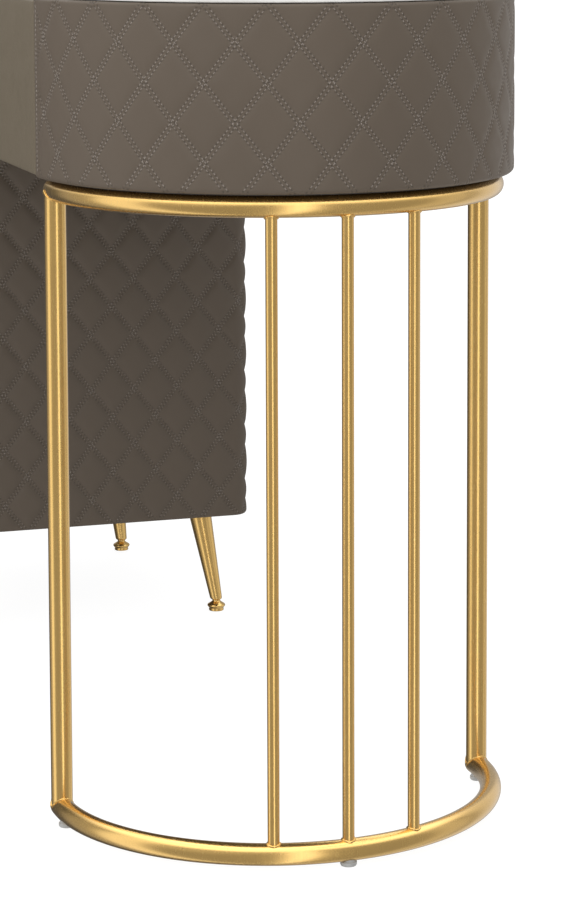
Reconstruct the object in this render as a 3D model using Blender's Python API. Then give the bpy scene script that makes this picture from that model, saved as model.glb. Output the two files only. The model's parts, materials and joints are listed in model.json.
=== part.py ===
"""Vanity table with mirror: a quilted leather desk with a half-round end on a brass tube frame.

Axes: +Z up, -Y towards the person who sits at it, +X towards the half-round end. The origin is on
the floor, under the middle of the desk. Everything is in metres.
"""

import math

import bmesh
import bpy
from mathutils import Matrix, Vector

# Driving dimensions of the whole piece
LENGTH = 1.350
DEPTH = 0.450
DESK_HEIGHT = 0.780
GAP = 0.0003  # between pieces that touch
REVEAL = 0.0015  # around a drawer front
BOARD = 0.015
PANEL = 0.018

# Plan of the desk
HALF = DEPTH / 2
LEFT_X = -LENGTH / 2
ARC_X = LENGTH / 2 - HALF  # centre of the half-round end
BAND_THICK = 0.010
CORNER_R = 0.018
CORE_R = HALF - BAND_THICK - GAP
SLAB_SETBACK = 0.002
DIVIDER_X = -0.257

# Heights of the desk
UPPER_RING_Z = 0.5906
LOWER_RING_Z = 0.0142
BAND_BOTTOM = 0.6024
RIM_TOP = 0.7661
SLAB_BOTTOM = RIM_TOP + 0.0006

# Brass tube frame under the half-round end
RING_R = 0.206
TUBE_R = 0.010
BAR_R = 0.0054
MIDDLE_BAR_ANGLE = 1.6
BAR_PITCH_ANGLE = 18.8
GLIDE_R = 0.0075
FRONT_GLIDE_SET_IN = 0.016
BACK_GLIDE_SET_IN = 0.004
DECK_BOTTOM = UPPER_RING_Z + TUBE_R + GAP
DECK_TOP = DECK_BOTTOM + BOARD
TOP_BOARD_TOP = SLAB_BOTTOM - GAP
TOP_BOARD_BOTTOM = TOP_BOARD_TOP - BOARD

# Desk drawers
FRONT_THICK = 0.018
DESK_FRONT_Y = -HALF + 0.0015
FRONT_BOTTOM = BAND_BOTTOM + 0.0014
FRONT_TOP = RIM_TOP - 0.0025
CARCASS_FRONT_Y = DESK_FRONT_Y + FRONT_THICK + 0.0005
RUNNER_THICK = 0.0125
RUNNER_HEIGHT = 0.045
BOX_WALL = 0.012
BOX_FLOOR = 0.008
DESK_BOX_HEIGHT = 0.100
DESK_BOX_DEPTH = 0.380

# Drawer cabinet under the left end
CAB_LEFT = -0.650
CAB_RIGHT = -0.257
CAB_HALF = 0.188
CAB_BOTTOM = 0.119
CAB_COVER = 0.012
CAB_COVER_TOP = DECK_BOTTOM - 0.003
CAB_FRONT_Y = -CAB_HALF + 0.0015
CAB_BOX_HEIGHT = 0.175
CAB_BOX_DEPTH = 0.310
KNOB_R = 0.014
KNOB_REACH = 0.024

# Turned, splayed legs of the cabinet
LEG_FEET = {"right": (-0.284, 0.154), "left": (-0.637, 0.127)}
LEG_SPLAY = 0.15
LEG_TOP_R = 0.0136
LEG_END_R = 0.0071
TIP_HEIGHT = 0.0130

# Mirror on its swivelling fork
MIRROR_X = 0.100
MIRROR_Y = 0.125
MIRROR_Z = 1.130
MIRROR_R = 0.255
MIRROR_DEPTH = 0.016
MIRROR_LIP = 0.010
FORK_R = 0.275
FORK_TUBE_R = 0.006
STEM_R = 0.008
MIRROR_BASE_R = 0.090
MIRROR_BASE_HEIGHT = 0.010
SOCKET_DEPTH = 0.007


def clear_scene():
    for obj in list(bpy.data.objects):
        bpy.data.objects.remove(obj, do_unlink=True)


def make_material(name, colour, roughness, metallic=0.0):
    material = bpy.data.materials.new(name)
    material.use_nodes = True
    shader = material.node_tree.nodes["Principled BSDF"]
    shader.inputs["Base Color"].default_value = (*colour, 1.0)
    shader.inputs["Roughness"].default_value = roughness
    shader.inputs["Metallic"].default_value = metallic
    material.diffuse_color = (*colour, 1.0)
    return material


def make_materials():
    return {
        "quilted_leather": make_material("quilted_leather", (0.15, 0.12, 0.095), 0.55),
        "smooth_leather": make_material("smooth_leather", (0.16, 0.13, 0.10), 0.50),
        "satin_brass": make_material("satin_brass", (0.78, 0.55, 0.25), 0.25, 1.0),
        "white_stone": make_material("white_stone", (0.86, 0.85, 0.83), 0.25),
        "plywood": make_material("plywood", (0.10, 0.08, 0.07), 0.60),
        "drawer_wood": make_material("drawer_wood", (0.40, 0.31, 0.23), 0.55),
        "runner_steel": make_material("runner_steel", (0.55, 0.56, 0.58), 0.30, 1.0),
        "glide_plastic": make_material("glide_plastic", (0.45, 0.45, 0.44), 0.45),
        "mirror_glass": make_material("mirror_glass", (0.90, 0.92, 0.92), 0.03, 1.0),
        "mirror_backing": make_material("mirror_backing", (0.14, 0.12, 0.10), 0.60),
    }


def add_object(name, shape, material, smooth_angle=35):
    """Turns a bmesh into a named object, shaded smooth up to the given edge angle."""
    bmesh.ops.recalc_face_normals(shape, faces=shape.faces)
    mesh = bpy.data.meshes.new(name)
    shape.to_mesh(mesh)
    shape.free()
    mesh.materials.append(material)
    mesh.shade_smooth()
    mesh.set_sharp_from_angle(angle=math.radians(smooth_angle))
    obj = bpy.data.objects.new(name, mesh)
    bpy.context.scene.collection.objects.link(obj)
    return obj


def add_bevel(obj, width, segments=2):
    bevel = obj.modifiers.new("rounded_edges", "BEVEL")
    bevel.width = width
    bevel.segments = segments
    bevel.limit_method = "ANGLE"
    bevel.angle_limit = math.radians(40)
    bevel.use_clamp_overlap = True
    return obj


def add_box(name, low, high, material, bevel=0.0):
    shape = bmesh.new()
    low, high = Vector(low), Vector(high)
    place = Matrix.Translation((low + high) / 2) @ Matrix.Diagonal((*(high - low), 1.0))
    bmesh.ops.create_cube(shape, size=1.0, matrix=place)
    obj = add_object(name, shape, material)
    return add_bevel(obj, bevel) if bevel else obj


def add_prism(name, outline, bottom, top, material, bevel=0.0):
    """A closed outline of (x, y) points raised from bottom to top."""
    shape = bmesh.new()
    base = shape.faces.new([shape.verts.new((x, y, bottom)) for x, y in outline])
    raised = bmesh.ops.extrude_face_region(shape, geom=[base])
    corners = [part for part in raised["geom"] if isinstance(part, bmesh.types.BMVert)]
    bmesh.ops.translate(shape, verts=corners, vec=(0, 0, top - bottom))
    obj = add_object(name, shape, material)
    return add_bevel(obj, bevel) if bevel else obj


def add_turned(name, profile, material, place, steps=32):
    """A profile of (radius, height) points turned about Z, then moved by the matrix place."""
    shape = bmesh.new()
    corners = [shape.verts.new((radius, 0, height)) for radius, height in profile]
    edges = [shape.edges.new(pair) for pair in zip(corners, corners[1:])]
    bmesh.ops.spin(
        shape, geom=corners + edges, cent=(0, 0, 0), axis=(0, 0, 1),
        angle=math.tau, steps=steps, use_merge=True,
    )
    bmesh.ops.remove_doubles(shape, verts=shape.verts, dist=1e-6)
    bmesh.ops.transform(shape, matrix=place, verts=shape.verts)
    return add_object(name, shape, material)


def turned_solid(radii_and_heights):
    """Closes a turned profile onto the axis at both ends."""
    first, last = radii_and_heights[0], radii_and_heights[-1]
    return [(0.0, first[1]), *radii_and_heights, (0.0, last[1])]


def set_origin(obj, point):
    """Moves an object's origin to the point and leaves its mesh where it is."""
    obj.data.transform(Matrix.Translation(-Vector(point)))
    obj.location = Vector(point)


def add_pivot(name, point, pieces):
    """An empty on a joint that carries the pieces which move with it."""
    pivot = bpy.data.objects.new(name, None)
    pivot.location = point
    bpy.context.scene.collection.objects.link(pivot)
    for piece in pieces:
        set_origin(piece, point)
        piece.parent = pivot
        piece.location = (0, 0, 0)
    return pivot


def cut_with(obj, cutter):
    cutter.hide_render = True
    cutter.display_type = "WIRE"
    boolean = obj.modifiers.new("cut_" + cutter.name, "BOOLEAN")
    boolean.operation = "DIFFERENCE"
    boolean.solver = "EXACT"
    boolean.object = cutter


def join_with(obj, other):
    other.hide_render = True
    other.display_type = "WIRE"
    boolean = obj.modifiers.new("join_" + other.name, "BOOLEAN")
    boolean.operation = "UNION"
    boolean.solver = "EXACT"
    boolean.object = other


def arc(centre, radius, start, end, steps):
    """Points along a circular arc, with its angles in degrees."""
    angles = [math.radians(start + (end - start) * i / steps) for i in range(steps + 1)]
    return [(centre[0] + radius * math.cos(a), centre[1] + radius * math.sin(a)) for a in angles]


def desk_outline(inset, front_y, corner=0.0, steps=40):
    """The desk's plan, drawn in by inset, with a straight front at front_y."""
    left, back = LEFT_X + inset, HALF - inset
    round_end = arc((ARC_X, 0), back, -90, 90, steps)
    if corner:
        round_end += arc((left + corner, back - corner), corner, 90, 180, 5)
    else:
        round_end.append((left, back))
    full_depth = front_y < -back + 1e-6
    return round_end + ([(left, front_y)] if full_depth else [(left, front_y), (ARC_X, front_y)])


def add_desk_carcass(mats):
    """The box of the desk: boards, dividers, curved core, quilted band and stone top."""
    wood = mats["plywood"]
    inset = BAND_THICK + GAP
    board_plan = desk_outline(inset, CARCASS_FRONT_Y)
    add_prism("desk_bottom_board", board_plan, DECK_BOTTOM, DECK_TOP, wood)
    add_prism("desk_top_board", board_plan, TOP_BOARD_BOTTOM, TOP_BOARD_TOP, wood)
    slab = add_prism(
        "top_slab", desk_outline(SLAB_SETBACK, -HALF + SLAB_SETBACK, CORNER_R), SLAB_BOTTOM,
        DESK_HEIGHT, mats["white_stone"],
    )
    add_bevel(slab, 0.0015)

    low, high = DECK_TOP + GAP, TOP_BOARD_BOTTOM - GAP
    core = arc((ARC_X, 0), CORE_R, -90, 90, 40) + arc((ARC_X, 0), CORE_R - PANEL, 90, -90, 40)
    add_prism("round_end_core", core, low, high, wood)
    back_y = CORE_R - PANEL
    left = LEFT_X + inset
    add_box("desk_back_board", (left, back_y, low), (ARC_X - GAP, CORE_R, high), wood)
    walls = {
        "left_end_board": (left, left + PANEL),
        "middle_divider": (DIVIDER_X - PANEL / 2, DIVIDER_X + PANEL / 2),
        "right_divider": (ARC_X - GAP - PANEL, ARC_X - GAP),
    }
    for name, (x0, x1) in walls.items():
        add_box(name, (x0, CARCASS_FRONT_Y, low), (x1, back_y - GAP, high), wood)
    add_quilted_band(mats["quilted_leather"])
    return walls


def add_quilted_band(leather):
    """The padded skin round the half-round end, the back and the left end."""
    outer = arc((ARC_X, 0), HALF, -90, 90, 48)
    outer += arc((LEFT_X + CORNER_R, HALF - CORNER_R), CORNER_R, 90, 180, 6)
    outer.append((LEFT_X, -HALF))
    inner_left, inner_r = LEFT_X + BAND_THICK, HALF - BAND_THICK
    inner = [(inner_left, -HALF), (inner_left, inner_r)]
    inner += arc((ARC_X, 0), inner_r, 90, -90, 48)
    add_prism("quilted_band", outer + inner, BAND_BOTTOM, RIM_TOP, leather)


def ring_tube(name, height, tube_r, material, steps=40, sides=16):
    """A half ring of tube about the arc's centre, run on past both posts by the tube's radius."""
    shape = bmesh.new()
    bmesh.ops.create_circle(
        shape, segments=sides, radius=tube_r,
        matrix=Matrix.Translation((ARC_X, -RING_R, height)) @ Matrix.Rotation(math.pi / 2, 4, "Y"),
    )
    start = list(shape.edges)
    spun = bmesh.ops.spin(
        shape, geom=list(shape.verts) + start, cent=(ARC_X, 0, height), axis=(0, 0, 1),
        angle=math.pi, steps=steps,
    )
    end = [part for part in spun["geom_last"] if isinstance(part, bmesh.types.BMEdge)]
    for edges in (start, end):
        pulled = bmesh.ops.extrude_edge_only(shape, edges=edges)["geom"]
        rim = [part for part in pulled if isinstance(part, bmesh.types.BMVert)]
        bmesh.ops.translate(shape, verts=rim, vec=(-TUBE_R, 0, 0))
        bmesh.ops.contextual_create(shape, geom=[p for p in pulled if isinstance(p, bmesh.types.BMEdge)])
    return add_object(name, shape, material, smooth_angle=50)


def add_tube_frame(mats):
    """Two half rings joined by two posts and three thin bars, on plastic glides."""
    brass = mats["satin_brass"]
    ring_tube("upper_ring", UPPER_RING_Z, TUBE_R, brass)
    ring_tube("lower_ring", LOWER_RING_Z, TUBE_R, brass)
    cutters = [
        ring_tube(f"{name}_saddle", height, TUBE_R + GAP, brass)
        for name, height in (("upper", UPPER_RING_Z), ("lower", LOWER_RING_Z))
    ]
    uprights = {"front_post": (-90, TUBE_R), "back_post": (90, TUBE_R)}
    for i in range(3):
        uprights[f"frame_bar_{i + 1}"] = (MIDDLE_BAR_ANGLE + (i - 1) * BAR_PITCH_ANGLE, BAR_R)
    for name, (angle, radius) in uprights.items():
        x = ARC_X + RING_R * math.cos(math.radians(angle))
        y = RING_R * math.sin(math.radians(angle))
        profile = turned_solid([(radius, LOWER_RING_Z), (radius, UPPER_RING_Z)])
        tube = add_turned(name, profile, brass, Matrix.Translation((x, y, 0)), steps=16)
        for cutter in cutters:
            cut_with(tube, cutter)
    add_glides(mats["glide_plastic"])


def add_glides(plastic):
    """Feet under the lower ring: each has a saddle that follows the tube's underside."""
    saddle = ring_tube("glide_saddle", LOWER_RING_Z, TUBE_R + GAP, plastic)
    places = {
        "front": -90 + math.degrees(FRONT_GLIDE_SET_IN / RING_R),
        "middle": MIDDLE_BAR_ANGLE,
        "back": 90 - math.degrees(BACK_GLIDE_SET_IN / RING_R),
    }
    for name, angle in places.items():
        x = ARC_X + RING_R * math.cos(math.radians(angle))
        y = RING_R * math.sin(math.radians(angle))
        profile = turned_solid([(GLIDE_R - 0.001, 0.0), (GLIDE_R, 0.001), (GLIDE_R, 0.0075)])
        foot = add_turned(f"ring_glide_{name}", profile, plastic, Matrix.Translation((x, y, 0)), 20)
        cut_with(foot, saddle)


def add_drawer_box(name, low, high, wood):
    """An open tray: four walls and a floor."""
    shape = bmesh.new()
    low, high = Vector(low), Vector(high)
    place = Matrix.Translation((low + high) / 2) @ Matrix.Diagonal((*(high - low), 1.0))
    bmesh.ops.create_cube(shape, size=1.0, matrix=place)
    top = max(shape.faces, key=lambda face: face.calc_center_median().z)
    bmesh.ops.inset_region(shape, faces=[top], thickness=BOX_WALL, use_even_offset=True)
    sunk = bmesh.ops.extrude_face_region(shape, geom=[top])
    floor = [part for part in sunk["geom"] if isinstance(part, bmesh.types.BMVert)]
    bmesh.ops.translate(shape, verts=floor, vec=(0, 0, -(high.z - low.z - BOX_FLOOR)))
    bmesh.ops.delete(shape, geom=[top], context="FACES")
    return add_object(name, shape, wood)


def add_drawer(name, bay, front, box_z, box_y, mats):
    """A drawer's front, tray and two side runners. bay is (x0, x1); front is its (low, high)."""
    (x0, x1), (bottom, top) = bay, box_z
    face = add_box(f"{name}_front", *front, mats["smooth_leather"], bevel=0.003)
    inside = RUNNER_THICK + 2 * GAP
    low, high = (x0 + inside, box_y[0], bottom), (x1 - inside, box_y[1], top)
    tray = add_drawer_box(f"{name}_box", low, high, mats["drawer_wood"])
    middle = (bottom + top) / 2
    sides = {"left": (x0 + GAP, x0 + GAP + RUNNER_THICK), "right": (x1 - GAP - RUNNER_THICK, x1 - GAP)}
    for side, (a, b) in sides.items():
        rail_low = (a, box_y[0] + 0.004, middle - RUNNER_HEIGHT / 2)
        rail_high = (b, box_y[1] - 0.004, middle + RUNNER_HEIGHT / 2)
        add_box(f"{name}_runner_{side}", rail_low, rail_high, mats["runner_steel"])
    return [face, tray]


def add_desk_drawers(walls, mats):
    """Two drawers with plain leather fronts, gripped in the gap under the stone top."""
    fronts = {
        "desk_drawer_left": (LEFT_X + BAND_THICK + REVEAL, DIVIDER_X - REVEAL / 2),
        "desk_drawer_right": (DIVIDER_X + REVEAL / 2, ARC_X - REVEAL),
    }
    bays = {
        "desk_drawer_left": (walls["left_end_board"][1], walls["middle_divider"][0]),
        "desk_drawer_right": (walls["middle_divider"][1], walls["right_divider"][0]),
    }
    bottom = DECK_TOP + 0.012
    start = DESK_FRONT_Y + FRONT_THICK + GAP
    for name, (x0, x1) in fronts.items():
        front = ((x0, DESK_FRONT_Y, FRONT_BOTTOM), (x1, DESK_FRONT_Y + FRONT_THICK, FRONT_TOP))
        box_z = (bottom, bottom + DESK_BOX_HEIGHT)
        pieces = add_drawer(name, bays[name], front, box_z, (start, start + DESK_BOX_DEPTH), mats)
        add_pivot(f"{name}_slide", ((x0 + x1) / 2, start, bottom + DESK_BOX_HEIGHT / 2), pieces)


def add_cabinet(mats):
    """The drawer cabinet's boards and its padded, quilted cover on three sides."""
    wood = mats["plywood"]
    inside = CAB_COVER + GAP
    left, right, back = CAB_LEFT + inside, CAB_RIGHT - inside, CAB_HALF - inside
    front = CAB_FRONT_Y + FRONT_THICK + 0.0005
    bottom, top = CAB_BOTTOM + 0.0005, DECK_BOTTOM - GAP
    add_box("cabinet_bottom_board", (left, front, bottom), (right, back, bottom + PANEL), wood)
    add_box("cabinet_top_board", (left, front, top - PANEL), (right, back, top), wood)
    low, high = bottom + PANEL + GAP, top - PANEL - GAP
    add_box("cabinet_back_board", (left, back - PANEL, low), (right, back, high), wood)
    walls = {"left": (left, left + PANEL), "right": (right - PANEL, right)}
    for side, (x0, x1) in walls.items():
        add_box(f"cabinet_{side}_side", (x0, front, low), (x1, back - PANEL - GAP, high), wood)

    outer = [(CAB_RIGHT, -CAB_HALF)]
    for x, start in ((CAB_RIGHT - CORNER_R, 0), (CAB_LEFT + CORNER_R, 90)):
        outer += arc((x, CAB_HALF - CORNER_R), CORNER_R, start, start + 90, 6)
    outer.append((CAB_LEFT, -CAB_HALF))
    inner_y = CAB_HALF - CAB_COVER
    inner = [
        (CAB_LEFT + CAB_COVER, -CAB_HALF), (CAB_LEFT + CAB_COVER, inner_y),
        (CAB_RIGHT - CAB_COVER, inner_y), (CAB_RIGHT - CAB_COVER, -CAB_HALF),
    ]
    add_prism(
        "cabinet_quilted_cover", outer + inner, CAB_BOTTOM, CAB_COVER_TOP, mats["quilted_leather"],
    )
    add_cabinet_drawers((walls["left"][1], walls["right"][0]), mats)
    add_legs(bottom - GAP, mats["satin_brass"])


def add_cabinet_drawers(bay, mats):
    """Two deep drawers, each with a turned brass knob."""
    x0, x1 = CAB_LEFT + CAB_COVER + REVEAL, CAB_RIGHT - CAB_COVER - REVEAL
    bottom, top = CAB_BOTTOM + 0.002, CAB_COVER_TOP - REVEAL
    middle = (bottom + top) / 2
    spans = {"lower": (bottom, middle - REVEAL / 2), "upper": (middle + REVEAL / 2, top)}
    start = CAB_FRONT_Y + FRONT_THICK + GAP
    for level, (z0, z1) in spans.items():
        name = f"cabinet_drawer_{level}"
        front = ((x0, CAB_FRONT_Y, z0), (x1, CAB_FRONT_Y + FRONT_THICK, z1))
        box_bottom = z0 + 0.028
        box_z = (box_bottom, box_bottom + CAB_BOX_HEIGHT)
        pieces = add_drawer(name, bay, front, box_z, (start, start + CAB_BOX_DEPTH), mats)
        centre = ((x0 + x1) / 2, CAB_FRONT_Y - GAP, (z0 + z1) / 2)
        pieces.append(add_knob(f"{name}_knob", centre, mats["satin_brass"]))
        add_pivot(f"{name}_slide", (centre[0], start, centre[2]), pieces)


def add_knob(name, centre, brass):
    """A turned knob on a short stem, which points out towards -Y."""
    profile = turned_solid([
        (0.0080, 0.0), (0.0080, 0.0015), (0.0050, 0.0030), (0.0050, 0.0110),
        (KNOB_R - 0.002, 0.0150), (KNOB_R, 0.0170), (KNOB_R, KNOB_REACH - 0.003),
        (KNOB_R - 0.0025, KNOB_REACH),
    ])
    place = Matrix.Translation(centre) @ Matrix.Rotation(math.pi / 2, 4, "X")
    return add_turned(name, profile, brass, place, 24)


def add_legs(top, brass):
    """Four tapered legs that splay towards the cabinet's corners, each on a turned tip."""
    height = top - TIP_HEIGHT - GAP
    lean = LEG_SPLAY * height
    tip = turned_solid([
        (0.0082, 0.0), (0.0088, 0.0008), (0.0088, 0.0030), (0.0102, 0.0048),
        (0.0108, 0.0064), (0.0102, 0.0080), (0.0048, 0.0112), (0.0048, TIP_HEIGHT),
    ])
    for column, (x, reach) in LEG_FEET.items():
        for row, y in (("front", -reach), ("back", reach)):
            name = f"cabinet_leg_{row}_{column}"
            add_turned(f"{name}_tip", tip, brass, Matrix.Translation((x, y, 0)), 28)
            inward = Vector((-lean if column == "right" else lean, -math.copysign(lean, y), 0))
            add_leg(name, Vector((x, y, TIP_HEIGHT + GAP)), height, inward, brass)


def add_leg(name, foot, height, inward, brass):
    """A cone whose level end faces are set over by inward, with its lower edge rounded."""
    shape = bmesh.new()
    bmesh.ops.create_cone(
        shape, cap_ends=True, segments=28, radius1=LEG_END_R, radius2=LEG_TOP_R, depth=height,
        matrix=Matrix.Translation((0, 0, height / 2)),
    )
    lower_edge = [e for e in shape.edges if max(v.co.z for v in e.verts) < 1e-5]
    bmesh.ops.bevel(shape, geom=lower_edge, offset=0.0015, segments=2, profile=0.5, affect="EDGES")
    for corner in shape.verts:
        corner.co += foot + inward * (corner.co.z / height)
    return add_object(name, shape, brass)


def add_mirror(mats):
    """A round mirror that tilts in a fork, whose stem swivels in a base on the stone top."""
    brass = mats["satin_brass"]
    base_z = DESK_HEIGHT + GAP
    rise = MIRROR_BASE_HEIGHT
    bore = STEM_R + GAP
    base = [
        (0.0, 0.0), (MIRROR_BASE_R, 0.0), (MIRROR_BASE_R, 0.004), (MIRROR_BASE_R - 0.003, 0.0065),
        (0.020, rise - 0.001), (0.016, rise), (bore, rise), (bore, rise - SOCKET_DEPTH),
        (0.0, rise - SOCKET_DEPTH),
    ]
    add_turned("mirror_base", base, brass, Matrix.Translation((MIRROR_X, MIRROR_Y, base_z)), 48)

    centre = Vector((MIRROR_X, MIRROR_Y, MIRROR_Z))
    stand = add_fork(base_z + rise - SOCKET_DEPTH + GAP, centre, brass)
    add_pivot("mirror_swivel", (MIRROR_X, MIRROR_Y, base_z), [stand])

    facing = Matrix.Translation(centre) @ Matrix.Rotation(math.pi / 2, 4, "X")
    half = MIRROR_DEPTH / 2
    glass_r = MIRROR_R - MIRROR_LIP / 2
    lip_r = MIRROR_R - MIRROR_LIP
    frame_profile = [
        (lip_r, half), (MIRROR_R - 0.002, half), (MIRROR_R, half - 0.002),
        (MIRROR_R, -half + 0.002), (MIRROR_R - 0.002, -half), (glass_r, -half),
        (glass_r, half - 0.003), (lip_r, half - 0.003), (lip_r, half),
    ]
    frame = add_turned("mirror_frame", frame_profile, brass, facing, 72)
    glass_front = half - 0.003 - GAP
    glass_back = glass_front - 0.005
    disc_r = glass_r - GAP
    glass = add_turned(
        "mirror_glass", turned_solid([(disc_r, glass_back), (disc_r, glass_front)]),
        mats["mirror_glass"], facing, 72,
    )
    backing = add_turned(
        "mirror_back", turned_solid([(disc_r, -half + 0.001), (disc_r, glass_back - GAP)]),
        mats["mirror_backing"], facing, 72,
    )
    knobs = [add_pivot_knob(side, centre, brass) for side in ("left", "right")]
    add_pivot("mirror_tilt", centre, [frame, glass, backing, *knobs])


def add_fork(stem_bottom, centre, brass):
    """The stem, the half ring that holds the mirror and the eyes at its two ends, as one weldment."""
    shape = bmesh.new()
    bmesh.ops.create_circle(
        shape, segments=12, radius=FORK_TUBE_R, cap_ends=True,
        matrix=Matrix.Translation(centre + Vector((-FORK_R, 0, 0))),
    )
    bmesh.ops.spin(
        shape, geom=shape.faces[:], cent=centre, axis=(0, 1, 0), angle=-math.pi, steps=40,
    )
    fork = add_object("mirror_stand", shape, brass, smooth_angle=50)
    fork_low = centre.z - FORK_R
    stem_profile = turned_solid([
        (STEM_R, stem_bottom), (STEM_R, fork_low - 0.016), (0.0045, fork_low - 0.004),
        (0.0045, fork_low + 0.001),
    ])
    stem = add_turned("stem", stem_profile, brass, Matrix.Translation((centre.x, centre.y, 0)), 24)
    join_with(fork, stem)
    along_x = Matrix.Rotation(math.pi / 2, 4, "Y")
    for side, sign in (("left", -1), ("right", 1)):
        eye_profile = turned_solid([(0.0095, -0.0065), (0.0095, 0.0065)])
        place = Matrix.Translation(centre + Vector((sign * FORK_R, 0, 0))) @ along_x
        join_with(fork, add_turned(f"fork_eye_{side}", eye_profile, brass, place, 24))
    reach = FORK_R + 0.012
    bore_profile = turned_solid([(0.0035, -reach), (0.0035, reach)])
    cut_with(fork, add_turned("tilt_bore", bore_profile, brass, Matrix.Translation(centre) @ along_x, 24))
    return fork


def add_pivot_knob(side, centre, brass):
    """A clamping knob whose pin runs through the fork's eye to the mirror's frame."""
    sign = -1 if side == "left" else 1
    pin_start = MIRROR_R + GAP - FORK_R
    profile = turned_solid([
        (0.0032, pin_start), (0.0032, 0.0068), (0.0110, 0.0068), (0.0130, 0.0090),
        (0.0130, 0.0180), (0.0105, 0.0205),
    ])
    turn = Matrix.Rotation(sign * math.pi / 2, 4, "Y")
    place = Matrix.Translation(centre + Vector((sign * FORK_R, 0, 0))) @ turn
    return add_turned(f"mirror_knob_{side}", profile, brass, place, 24)


def main():
    clear_scene()
    mats = make_materials()
    walls = add_desk_carcass(mats)
    add_tube_frame(mats)
    add_desk_drawers(walls, mats)
    add_cabinet(mats)
    add_mirror(mats)


main()
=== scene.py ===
"""Vanity table with mirror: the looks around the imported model.

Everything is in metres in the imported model's frame: +Z up, -Y towards the person who sits at the
table, +X towards the half-round end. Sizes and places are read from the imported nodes' boxes.
"""

import json
import math

import bmesh
import bpy
import numpy as np
from mathutils import Matrix, Vector


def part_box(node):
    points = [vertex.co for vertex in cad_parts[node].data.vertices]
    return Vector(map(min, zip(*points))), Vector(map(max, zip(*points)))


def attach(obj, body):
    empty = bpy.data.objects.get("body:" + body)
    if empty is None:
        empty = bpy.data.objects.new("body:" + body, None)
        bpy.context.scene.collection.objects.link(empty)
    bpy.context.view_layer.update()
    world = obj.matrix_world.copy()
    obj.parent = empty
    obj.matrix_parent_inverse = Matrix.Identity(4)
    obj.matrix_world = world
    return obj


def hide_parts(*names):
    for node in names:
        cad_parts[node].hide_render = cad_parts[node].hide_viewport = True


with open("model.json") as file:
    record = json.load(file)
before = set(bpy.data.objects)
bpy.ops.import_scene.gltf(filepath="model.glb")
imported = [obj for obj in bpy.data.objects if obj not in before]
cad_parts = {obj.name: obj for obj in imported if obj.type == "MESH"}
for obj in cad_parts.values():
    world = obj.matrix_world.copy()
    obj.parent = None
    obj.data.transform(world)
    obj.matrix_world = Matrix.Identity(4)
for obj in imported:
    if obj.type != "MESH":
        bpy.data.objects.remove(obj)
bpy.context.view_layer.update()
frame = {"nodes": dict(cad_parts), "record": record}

TAU = math.tau
TOUCHING = 1e-7  # points closer together than this are one point


# ---------------------------------------------------------------- places read from the frame

def box(node):
    low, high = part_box(node)
    return np.array(low), np.array(high)


def measured(node):
    """A node's low corner, high corner and middle."""
    low, high = box(node)
    return low, high, (low + high) / 2


BAND_LOW, BAND_HIGH = box("quilted_band")
RING_LOW, RING_HIGH, RING_MIDDLE = measured("upper_ring")
HALF = (BAND_HIGH[1] - BAND_LOW[1]) / 2
ARC_X = BAND_HIGH[0] - HALF
TUBE_R = (RING_HIGH[2] - RING_LOW[2]) / 2
RING_R = RING_HIGH[0] - TUBE_R - ARC_X
UPPER_RING_Z = RING_MIDDLE[2]
LOWER_RING_Z = measured("lower_ring")[2][2]
FACING = Matrix.Rotation(math.pi / 2, 4, "X")  # turns a profile's +Z towards the sitter
CORNER = 0.018  # rounding of the table's and the cabinet's upright corners


# ---------------------------------------------------------------- mesh helpers

def new_object(name, data):
    obj = bpy.data.objects.new(name, data)
    bpy.context.scene.collection.objects.link(obj)
    return obj


def make_piece(name, points, faces, material, body, slot, stands_for=(), sharp=40, uv=None):
    """A named mesh that rides on a body. uv gives each point its place on the skin, in metres."""
    mesh = bpy.data.meshes.new(name)
    points = np.asarray(points, np.float32)
    mesh.from_pydata(points.tolist(), [], [list(map(int, face)) for face in faces])
    mesh.validate()
    shell = bmesh.new()
    shell.from_mesh(mesh)
    bmesh.ops.recalc_face_normals(shell, faces=shell.faces)
    shell.to_mesh(mesh)
    shell.free()
    mesh.materials.append(material)
    mesh.shade_smooth()
    mesh.set_sharp_from_angle(angle=math.radians(sharp))
    if uv is not None:
        layer = mesh.uv_layers.new(name="skin")
        corner = np.empty(len(mesh.loops), np.int32)
        mesh.loops.foreach_get("vertex_index", corner)
        layer.data.foreach_set("uv", np.asarray(uv, np.float32)[corner].ravel())
    obj = new_object(name, mesh)
    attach(obj, body)
    if stands_for:
        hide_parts(*stands_for)
    return obj


def brass_piece(name, points, faces, stands_for=(), body="table", sharp=40):
    return make_piece(name, points, faces, BRASS, body, "satin_brass", stands_for, sharp)


def grid_faces(rows, columns, wrap_rows=False, wrap_columns=False):
    """Quads over a rows x columns grid of points, closed round either way when wrapped."""
    i = np.arange(rows if wrap_rows else rows - 1)[:, None]
    j = np.arange(columns if wrap_columns else columns - 1)[None, :]
    after_i, after_j = (i + 1) % rows, (j + 1) % columns
    quads = (i * columns + j, i * columns + after_j, after_i * columns + after_j, after_i * columns + j)
    return np.stack(np.broadcast_arrays(*quads), axis=-1).reshape(-1, 4)


def as_lists(quads):
    return [list(quad) for quad in quads]


def prism_faces(count, flip=False):
    """Faces of a section of count points drawn out straight, with both ends closed."""
    faces = [[k, (k + 1) % count, count + (k + 1) % count, count + k] for k in range(count)]
    faces += [list(range(count))[::-1], [count + k for k in range(count)]]
    return [face[::-1] for face in faces] if flip else faces


def with_end_fans(points, faces, first, last, steps):
    """A stack of rings with a middle point and a fan of triangles added at both its ends."""
    count = len(points)
    end = count - steps
    for k in range(steps):
        after = (k + 1) % steps
        faces.append([count, after, k])
        faces.append([count + 1, end + k, end + after])
    return np.vstack([points, first, last]), faces


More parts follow.
